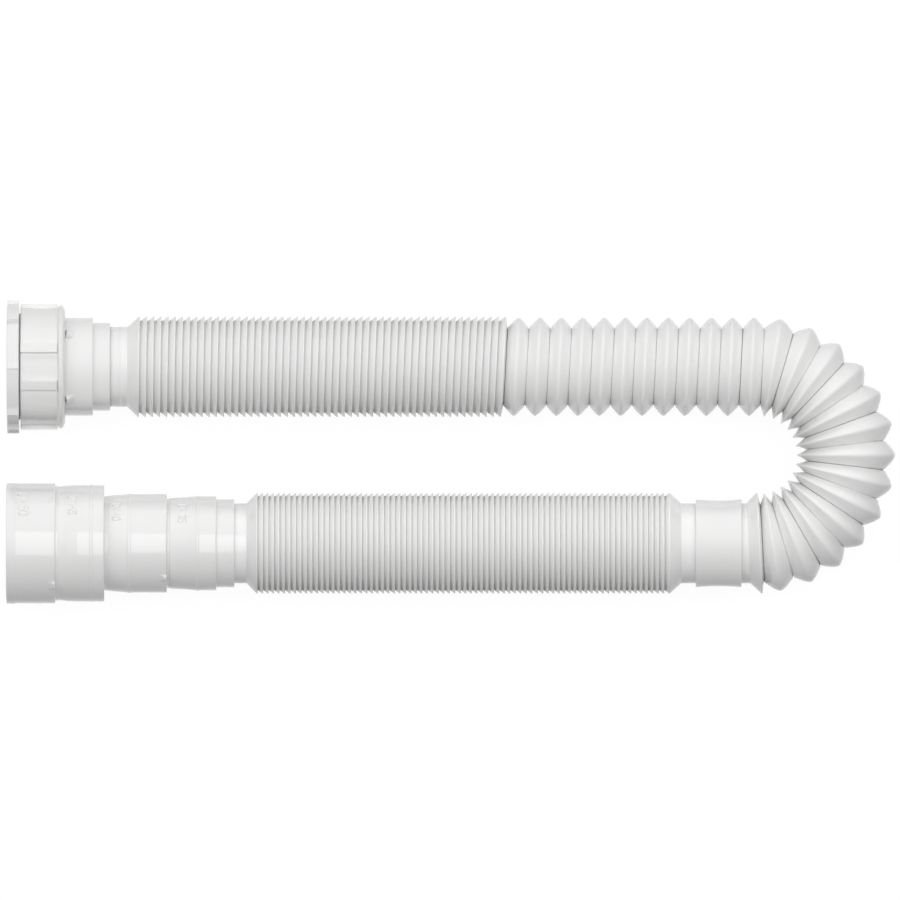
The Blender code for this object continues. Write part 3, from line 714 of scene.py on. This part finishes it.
# %% Outlet adapter
mark_arc = [math.radians(d) for d in np.arange(31, 65, 0.35)]
pip_edges = [side * math.radians(d) for side in (-1, 1) for d in (5.0, 4.2, 3.4)]
pip_arc = [pip + edge for pip in pips_at for edge in pip_edges]
adapter = turned(
    "outlet_adapter_skin",
    adapter_corners(),
    adapter_low.x,
    OUTLET_Y,
    columns(96, [0], mark_arc + pip_arc),
    adapter_relief,
)

# %% [markdown]
# ## Folds of the hose
# An open fold is a swelling roof: two flanks that bulge a little, a rounded ridge, and a sharp
# crease in the valley, where the plastic is thin and folds like a hinge. A closed fold is
# pushed over its neighbour, like stacked paper cups. Its long flank shows as a narrow ramp, and
# its short flank runs back under the ridge to a valley that no one sees until the hose is
# pulled. Drawing that hidden flank gives the dark slots their true depth. Each ring also gets a
# weight, its share of the way along the stretch. No corner is left without a tiny cut, because a
# fold drawn with a knife edge would shade as one soft swelling.

# %% Helpers for folds
VALLEY = 17.3 * MM
OPEN_PEAK = 21.9 * MM
CLOSED_PEAK = 22.35 * MM
NECK = 17.75 * MM
NECK_BORE = 16.75 * MM
SKIN = 0.5 * MM
LIP = 0.5 * MM
EDGE_CUT = 0.03 * MM
SOFT_CUT = 0.3 * MM
LARGEST_CUT_SHARE = 0.45
HOSE_COLUMNS = 96


def rounded_turn(before, corner, after, cut_before, cut_after, steps):
    """Points (s, radius, weight) of a rounded corner between two straight flanks."""
    before, corner, after = (np.array(p, float) for p in (before, corner, after))
    start = corner + (before - corner) * cut_before
    end = corner + (after - corner) * cut_after
    t = np.linspace(0, 1, steps + 1)[:, None]
    return list((1 - t) ** 2 * start + 2 * t * (1 - t) * corner + t**2 * end)


def folds(corners, rounding):
    """Rings of a zigzag through corners (s, radius, weight), each corner cut by its rounding."""
    rings = [np.array(corners[0], float)]
    for i in range(1, len(corners) - 1):
        before, here, after = corners[i - 1], corners[i], corners[i + 1]
        cut = max(rounding[i], EDGE_CUT)
        lengths = [math.dist(here[:2], other[:2]) for other in (before, after)]
        cuts = [min(LARGEST_CUT_SHARE, cut / length) for length in lengths]
        rings += rounded_turn(before, here, after, *cuts, 4 if cut > SOFT_CUT else 2)
    rings.append(np.array(corners[-1], float))
    return rings


def hose(name, outer, inner, place):
    """A hose piece from rings (s, radius, weight): outer from left to right, inner back."""
    rings = np.array(list(outer) + list(inner)[::-1])
    places = [place(s) for s in rings[:, 0]]
    centres = np.array([centre for centre, _ in places])
    leans = np.array([lean for _, lean in places])
    angles = columns(HOSE_COLUMNS)
    radii = np.repeat(rings[:, 1:2], len(angles), axis=1)
    piece = skin(name, centres, leans, radii, angles)
    print(name, "has", len(rings), "rings")
    return piece, np.repeat(rings[:, 2], len(angles))


# %% [markdown]
# ## The run of closed folds
# From the left: the plain neck in the tailpiece, a cone, and 52 closed folds. Each valley gets
# its share of the run as a weight, and each ridge a weight half a fold less.

# %% Closed folds of the upper hose
LONG_FLANK = 6.66 * MM
RIDGE_LAG = 0.5
VALLEY_CUT = 0.1 * MM
RIDGE_EDGE_CUT = 0.12 * MM
BORE_REACH = 0.72
BORE_SHIFT = 0.4
FIRST_CONE = 5.417 * MM
NECK_IN_SEAT = 9.0 * MM
WELD_WIDTH = 0.3 * MM
WELD_HEIGHT = 0.12 * MM


def closed_zigzag(first_peak, pitch, count, start, end):
    """Corners and roundings of closed folds between a start ring and an end ring."""
    corners = [start]
    rounding = [0]
    for k in range(count):
        peak = first_peak + k * pitch
        if k:
            corners.append((peak - LONG_FLANK, VALLEY, k / count))
            rounding.append(VALLEY_CUT)
        weight = (k - RIDGE_LAG) / count if k else 0
        corners += [(peak - LIP, CLOSED_PEAK, weight), (peak, CLOSED_PEAK, weight)]
        rounding += [RIDGE_EDGE_CUT, RIDGE_EDGE_CUT]
    return corners + [end], rounding + [0]


def closed_bore(first_peak, pitch, count, start, end):
    """Inner side of closed folds: a thin wall below each ridge, and the valleys' own bore."""
    corners = [start]
    radius = VALLEY + BORE_REACH * (CLOSED_PEAK - VALLEY)
    for k in range(count - 1):
        peak = first_peak + k * pitch
        ridge = peak - (LONG_FLANK - BORE_SHIFT * pitch) * (1 - BORE_REACH)
        if k:
            corners.append((ridge, radius, (k - RIDGE_LAG * BORE_REACH) / count))
        corners.append((peak + pitch - LONG_FLANK, VALLEY - SKIN, (k + 1) / count))
    return corners + [end]


def weld(s):
    """Corners of the fine line that the blowing mould leaves round a neck."""
    top = NECK + WELD_HEIGHT
    return [(s, NECK, 0), (s + WELD_WIDTH / 2, top, 0), (s + WELD_WIDTH, NECK, 0)]


# %% Skin of the closed run
neck_start = TAIL_MOUTH - NECK_IN_SEAT
cone_start = FIRST_PEAK - FIRST_CONE
zigzag, rounding = closed_zigzag(
    FIRST_PEAK, UPPER_PITCH, UPPER_FOLDS, (cone_start, NECK, 0), (OPEN_START, VALLEY, 1)
)
outer = [(neck_start, NECK, 0)] + weld(cone_start - 3.15 * MM)
outer += [(cone_start - 0.2 * MM, NECK, 0)] + folds(zigzag, rounding)
inner = [(neck_start, NECK_BORE, 0), (cone_start - 1.5 * MM, NECK_BORE, 0)]
inner += closed_bore(
    FIRST_PEAK, UPPER_PITCH, UPPER_FOLDS, (cone_start, NECK_BORE, 0), (OPEN_START, VALLEY - SKIN, 1)
)
closed_run, closed_weights = hose("upper_hose_closed_skin", outer, inner, station)

# %% [markdown]
# ## Open folds and the bend
# The open folds run on into the bend without a seam. They are one list of corners, cut into
# pieces at valleys, so that each hinge of the bend lies in the middle of its own piece. The
# first valley lies where the closed run ends.

# %% Open folds along the leg and round the bend
BEND_FOLDS = 13
BEND_PITCH = BEND_LENGTH / BEND_FOLDS
RIDGE_CUT = 1.0 * MM
RIDGE_RISE = 0.3 * MM
CREASE = VALLEY - 0.55 * MM
CREASE_SKIN = 0.3 * MM
LIP_SHARE, LIP_RADIUS = 0.06, 17.7 * MM
KNEE_SHARE, KNEE_RADIUS = 0.61, 20.65 * MM
KNEE_CUT = 0.9 * MM


def valley_at(number):
    """Distance of a valley: 0 is the start of the bend, negative numbers lie on the leg."""
    return number * (OPEN_PITCH if number < 0 else BEND_PITCH)


def open_piece(name, first, last, weight_at, lag=0.0):
    """Open folds from one valley to another; weight_at gives the weight of a valley."""
    corners = [(valley_at(first), CREASE, weight_at(first))]
    rounding = [0]
    bore = [(valley_at(first), CREASE - CREASE_SKIN, weight_at(first))]
    for number in range(first, last):
        valley = np.array([valley_at(number), weight_at(number)])
        following = np.array([valley_at(number + 1), weight_at(number + 1)])
        ridge = (valley + following) / 2 - (0, lag)
        for end in (valley, following):
            flank = []
            for part, radius, cut in ((LIP_SHARE, LIP_RADIUS, 0), (KNEE_SHARE, KNEE_RADIUS, KNEE_CUT)):
                s, weight = end + (ridge - end) * part
                flank.append(((s, radius, weight), cut))
            if end is valley:
                flank.append(((ridge[0], OPEN_PEAK + RIDGE_RISE, ridge[1]), RIDGE_CUT))
            else:
                flank = flank[::-1] + [((end[0], CREASE, end[1]), 0)]
            corners += [corner for corner, _ in flank]
            rounding += [cut for _, cut in flank]
        bore.append((ridge[0], OPEN_PEAK - SKIN, ridge[1]))
        bore.append((following[0], CREASE - CREASE_SKIN, following[1]))
    return hose(name, folds(corners, rounding), bore, station)


# %% Open folds on the leg
leg_first, leg_last = -OPEN_FOLDS, -1
CLOSE_TRAVEL = 75.9 * MM
NESTING = 0.55
nested_lag = (LONG_FLANK - UPPER_PITCH / 2 - LIP) / CLOSE_TRAVEL * NESTING
open_run, open_weights = open_piece(
    "upper_hose_open_skin",
    leg_first,
    leg_last,
    lambda number: (number - leg_first) / (leg_last - leg_first),
    nested_lag,
)

# %% Pieces of the bend, one for each hinge
bend_pieces = []
for index in range(7):
    first = 2 * index - 1
    bend_pieces.append(
        open_piece(f"bend_skin_{7 - index}", first, first + 2, lambda n, f=first: (n - f) / 2)
    )
print(len(bend_pieces), "pieces round the bend")

# %% [markdown]
# ## The end of the bend
# After the last fold comes half a fold more: a sharp ridge, a cone and the neck in the sleeve.

# %% Neck at the end of the bend
sleeve_seat = SLEEVE_FACE + NECK_IN_SEAT
neck_corners = [
    (BEND_LENGTH, VALLEY, 0),
    (END_PEAK - 0.25 * MM, CLOSED_PEAK, 0),
    (END_PEAK + 0.25 * MM, CLOSED_PEAK, 0),
    (END_CONE, NECK, 0),
    *weld(END_CONE + 1.2 * MM),
    (sleeve_seat, NECK, 0),
]
neck_rounding = [0, 0.1 * MM, 0.1 * MM, 0.4 * MM, 0, 0, 0, 0]
neck_bore = [(BEND_LENGTH, VALLEY - SKIN, 0), (END_PEAK, NECK_BORE, 0), (sleeve_seat, NECK_BORE, 0)]
bend_neck, _ = hose("bend_end_skin", folds(neck_corners, neck_rounding), neck_bore, station)

# %% [markdown]
# ## The lower hose
# The second hose is all closed folds, with a neck and a cone at each end. It lies straight, so
# its rings stand square on the outlet leg.

# %% Lower hose
LOWER_FOLDS = 76
LOWER_PITCH = 2.44 * MM
LOWER_LAST = sleeve_low.x - 11.4 * MM
LOWER_FIRST = LOWER_LAST - (LOWER_FOLDS - 1) * LOWER_PITCH
lower_low, lower_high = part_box("lower_hose")


def outlet_station(x):
    """Centre and lean of a ring on the outlet leg."""
    return Vector((x, OUTLET_Y, AXIS_Z)), 0.0


zigzag, rounding = closed_zigzag(
    LOWER_FIRST,
    LOWER_PITCH,
    LOWER_FOLDS,
    (LOWER_FIRST - CONE, NECK, 0),
    (LOWER_LAST + CONE, NECK, 1),
)
outer = [(lower_low.x, NECK, 0)] + folds(zigzag, rounding) + [(lower_high.x, NECK, 1)]
inner = [(lower_low.x, NECK_BORE, 0)]
inner += closed_bore(
    LOWER_FIRST,
    LOWER_PITCH,
    LOWER_FOLDS,
    (LOWER_FIRST - CONE, NECK_BORE, 0),
    (LOWER_LAST + 0.2 * CONE, NECK_BORE, 1),
)
inner += [(lower_high.x, NECK_BORE, 1)]
lower_hose, lower_weights = hose("lower_hose_skin", outer, inner, outlet_station)

# %% [markdown]
# ## White plastic
# The fittings are injection moulded against a polished steel mould, so a clear gloss lies over
# the white. The hose is blown and a little duller, and the washer is matt rubber. Each finish is
# a small node tree: a slow change of colour, the same change in roughness, and a faint fine bump
# like the flow of plastic in the mould.

# %% Finishes
GLOSS_SPREAD = 0.15
GRAIN_SCALE = 12
GRAIN_DEPTH = 0.05 * MM
PLASTIC_IOR = 1.49


def finish(name, colour, roughness, spread, bump, scale, polish=0.0):
    """Principled material with a slight change of colour and gloss, and a fine bump."""
    material = bpy.data.materials.new(name)
    material.use_nodes = True
    nodes, links = material.node_tree.nodes, material.node_tree.links
    shader = nodes["Principled BSDF"]
    place = nodes.new("ShaderNodeTexCoord")
    cloud = nodes.new("ShaderNodeTexNoise")
    cloud.inputs["Scale"].default_value = scale
    cloud.inputs["Detail"].default_value = 3
    links.new(place.outputs["Object"], cloud.inputs["Vector"])
    tint = nodes.new("ShaderNodeMapRange")
    tint.inputs["To Min"].default_value = 1 - spread
    tint.inputs["To Max"].default_value = 1
    links.new(cloud.outputs["Fac"], tint.inputs["Value"])
    shade = nodes.new("ShaderNodeVectorMath")
    shade.operation = "SCALE"
    shade.inputs[0].default_value = colour
    links.new(tint.outputs["Result"], shade.inputs["Scale"])
    links.new(shade.outputs["Vector"], shader.inputs["Base Color"])
    gloss = nodes.new("ShaderNodeMapRange")
    gloss.inputs["To Min"].default_value = roughness * (1 - GLOSS_SPREAD)
    gloss.inputs["To Max"].default_value = roughness * (1 + GLOSS_SPREAD)
    links.new(cloud.outputs["Fac"], gloss.inputs["Value"])
    links.new(gloss.outputs["Result"], shader.inputs["Roughness"])
    grain = nodes.new("ShaderNodeTexNoise")
    grain.inputs["Scale"].default_value = scale * GRAIN_SCALE
    links.new(place.outputs["Object"], grain.inputs["Vector"])
    relief = nodes.new("ShaderNodeBump")
    relief.inputs["Strength"].default_value = bump
    relief.inputs["Distance"].default_value = GRAIN_DEPTH
    links.new(grain.outputs["Fac"], relief.inputs["Height"])
    links.new(relief.outputs["Normal"], shader.inputs["Normal"])
    shader.inputs["IOR"].default_value = PLASTIC_IOR
    shader.inputs["Coat Weight"].default_value = polish
    shader.inputs["Coat Roughness"].default_value = roughness / 2
    return material


moulded = finish("moulded_white_plastic", (0.825, 0.825, 0.82), 0.08, 0.015, 0.05, 60, 0.5)
blown = finish("blown_white_plastic", (0.86, 0.86, 0.855), 0.15, 0.02, 0.08, 90, 0.2)
rubber = finish("grey_seal_rubber", (0.4, 0.4, 0.41), 0.6, 0.06, 0.3, 150)

# %% [markdown]
# ## Which piece rides on what
# A fitting rides on its own body, and so does the neck at the end of the bend. The other hose
# pieces, which change length or bend, stay where they were drawn, with their places baked into their
# meshes.

# %% Ride, bake and replace
def dress(piece, material, slot, *nodes):
    """Give a piece its finish and hide the solids that it stands for; slot is not used."""
    piece.data.materials.append(material)
    if nodes:
        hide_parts(*nodes)


def blend_rings(piece, weights, first_body, last_body, start, end):
    """Bake a hose piece's place into its mesh; weights, first_body, last_body, start and end are not
    used.
    """
    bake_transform(piece)


for piece, body, slot in (
    (ring, "ring", "reducer_ring"),
    (nut, "nut", "union_nut"),
    (tail, "inlet", "inlet_tailpiece"),
    (sleeve, "middle", "middle_sleeve"),
    (adapter, "outlet", "outlet_adapter"),
):
    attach(piece, body)
    dress(piece, moulded, slot, slot)
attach(washer, "inlet")
dress(washer, rubber, "sealing_washer", "sealing_washer")

# %% Pieces of the hose
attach(bend_neck, "middle")
dress(bend_neck, blown, "upper_hose", "bend_end_neck")
ends = (station(neck_start)[0], station(OPEN_START)[0])
blend_rings(closed_run, closed_weights, "inlet", "closed_run", *ends)
dress(closed_run, blown, "upper_hose", "upper_hose_closed_folds")
ends = (station(OPEN_START)[0], station(valley_at(-1))[0])
blend_rings(open_run, open_weights, "closed_run", "open_run", *ends)
dress(open_run, blown, "upper_hose", "upper_hose_open_folds")
chain = ["open_run"] + [f"link_{number}" for number in range(6, 0, -1)] + ["middle"]
for index, (piece, weights) in enumerate(bend_pieces):
    first = 2 * index - 1
    ends = (station(valley_at(first))[0], station(valley_at(first + 2))[0])
    blend_rings(piece, weights, chain[index], chain[index + 1], *ends)
    dress(piece, blown, "upper_hose", *([f"bend_link_{7 - index}"] if index else []))
ends = (Vector((lower_low.x, OUTLET_Y, AXIS_Z)), Vector((lower_high.x, OUTLET_Y, AXIS_Z)))
blend_rings(lower_hose, lower_weights, "outlet", "middle", *ends)
dress(lower_hose, blown, "lower_hose", "lower_hose")

# %% [markdown]
# ## Table and light
# The trap lies on a plain white table. To the camera the table shines white on its own, with
# only a hint of the trap's shadow. To the light it is a mid grey, so it doesn't wash out the
# undersides. A dim even sky lights every side a little, so that no shadow turns black.

# %% Table
HALF_TABLE = 6.0
TABLE_GAP = 0.3 * MM
TABLE_GLOW = 0.95
SHADOW_GREY = 0.08
TABLE_GREY = 0.12
table_mesh = bpy.data.meshes.new("table")
corners = [(-HALF_TABLE, -HALF_TABLE), (HALF_TABLE, -HALF_TABLE)]
corners += [(HALF_TABLE, HALF_TABLE), (-HALF_TABLE, HALF_TABLE)]
table_mesh.from_pydata([(x, y, cad_low.z - TABLE_GAP) for x, y in corners], [], [(0, 1, 2, 3)])
table = bpy.data.objects.new("table", table_mesh)
bpy.context.scene.collection.objects.link(table)


# %% Finish of the table
def seen_directly(nodes, links):
    """1 for rays that come from the camera, or by a mirror or glass; otherwise 0."""
    path = nodes.new("ShaderNodeLightPath")
    total = None
    for ray in ("Is Camera Ray", "Is Glossy Ray", "Is Transmission Ray"):
        if total is None:
            total = path.outputs[ray]
            continue
        both = nodes.new("ShaderNodeMath")
        both.operation = "MAXIMUM"
        links.new(total, both.inputs[0])
        links.new(path.outputs[ray], both.inputs[1])
        total = both.outputs[0]
    return total


def table_finish():
    """White to the camera with a faint shadow, and grey to the light."""
    material = bpy.data.materials.new("table_white")
    material.use_nodes = True
    nodes, links = material.node_tree.nodes, material.node_tree.links
    nodes.clear()
    glow = nodes.new("ShaderNodeEmission")
    glow.inputs["Strength"].default_value = TABLE_GLOW
    shadow = nodes.new("ShaderNodeBsdfDiffuse")
    shadow.inputs["Color"].default_value = (SHADOW_GREY, SHADOW_GREY, SHADOW_GREY, 1)
    white = nodes.new("ShaderNodeAddShader")
    links.new(glow.outputs[0], white.inputs[0])
    links.new(shadow.outputs[0], white.inputs[1])
    grey = nodes.new("ShaderNodeBsdfDiffuse")
    grey.inputs["Color"].default_value = (TABLE_GREY, TABLE_GREY, TABLE_GREY, 1)
    mix = nodes.new("ShaderNodeMixShader")
    links.new(seen_directly(nodes, links), mix.inputs[0])
    links.new(grey.outputs[0], mix.inputs[1])
    links.new(white.outputs[0], mix.inputs[2])
    output = nodes.new("ShaderNodeOutputMaterial")
    links.new(mix.outputs[0], output.inputs["Surface"])
    return material


table_mesh.materials.append(table_finish())

# %% Sky
SKY_LEVEL = 0.08


def sky():
    """World that is white to the camera and in mirrors, and a dim even light to all else."""
    world = bpy.data.worlds.new("studio_sky")
    world.use_nodes = True
    nodes, links = world.node_tree.nodes, world.node_tree.links
    nodes.clear()
    soft = nodes.new("ShaderNodeBackground")
    soft.inputs["Strength"].default_value = SKY_LEVEL
    white = nodes.new("ShaderNodeBackground")
    for background in (soft, white):
        background.inputs["Color"].default_value = (1, 1, 1, 1)
    mix = nodes.new("ShaderNodeMixShader")
    links.new(seen_directly(nodes, links), mix.inputs[0])
    links.new(soft.outputs[0], mix.inputs[1])
    links.new(white.outputs[0], mix.inputs[2])
    output = nodes.new("ShaderNodeOutputWorld")
    links.new(mix.outputs[0], output.inputs["Surface"])
    return world


bpy.context.scene.world = sky()
bpy.context.scene.view_settings.view_transform = "Standard"

# %% [markdown]
# Two long lamps do most of the lighting: one nearly straight over the table, and one low behind.
# Very little comes from the front, so the slots between the folds darken towards the lower edge of
# each leg, as in the photo. The lamps don't show in the gloss. What does show there is a soft
# box over the adapter, which adds no other light. Splitting the two jobs lets the pale oblongs
# in the plastic be as faint as in the photo.

# %% Lamps
LAMP_DISTANCE = 3.0
LAMP_LENGTH = 9.0
TARGET = Vector((0, 0, AXIS_Z))


def lamp(name, place, width, depth, radiance):
    """Oblong lamp that faces the trap; its radiance is how bright its face looks."""
    data = bpy.data.lights.new(name, "AREA")
    data.shape = "RECTANGLE"
    data.size = width
    data.size_y = depth
    data.energy = radiance * math.pi * width * depth
    piece = bpy.data.objects.new(name, data)
    bpy.context.scene.collection.objects.link(piece)
    piece.location = place
    piece.rotation_euler = (Vector(place) - TARGET).to_track_quat("Z", "Y").to_euler()
    return piece


def key_lamp(name, elevation, depth, level):
    """Lamp as long as the hose and more, at an angle from behind the table; level is its light."""
    turn = math.radians(elevation)
    place = TARGET + LAMP_DISTANCE * Vector((0, math.cos(turn), math.sin(turn)))
    half = LAMP_LENGTH / 2
    seen = half / (half**2 + LAMP_DISTANCE**2) + math.atan(half / LAMP_DISTANCE) / LAMP_DISTANCE
    piece = lamp(name, place, LAMP_LENGTH, depth, level * math.pi / (depth * seen))
    piece.visible_glossy = False


key_lamp("lamp_above", 82, 1.6, 0.73)
key_lamp("lamp_behind", 20, 1.1, 0.38)
key_lamp("lamp_in_front", 135, 1.6, 0.09)

# %% Soft box over the adapter
BOX_HEIGHT = 2.0
BOX_WIDTH = 0.27
BOX_DEPTH = 1.6
BOX_RADIANCE = 1.6
BOX_PLACE = (adapter_low.x + 0.035, OUTLET_Y, BOX_HEIGHT)
box = lamp("soft_box", BOX_PLACE, BOX_WIDTH, BOX_DEPTH, BOX_RADIANCE)
box.rotation_euler = (0, 0, 0)
box.visible_diffuse = False
lit = bpy.data.collections.new("lit_by_the_soft_box")
lit.objects.link(adapter)
lit.objects.link(lower_hose)
box.light_linking.receiver_collection = lit
print("lit by", len(bpy.data.lights), "lamps and the sky")
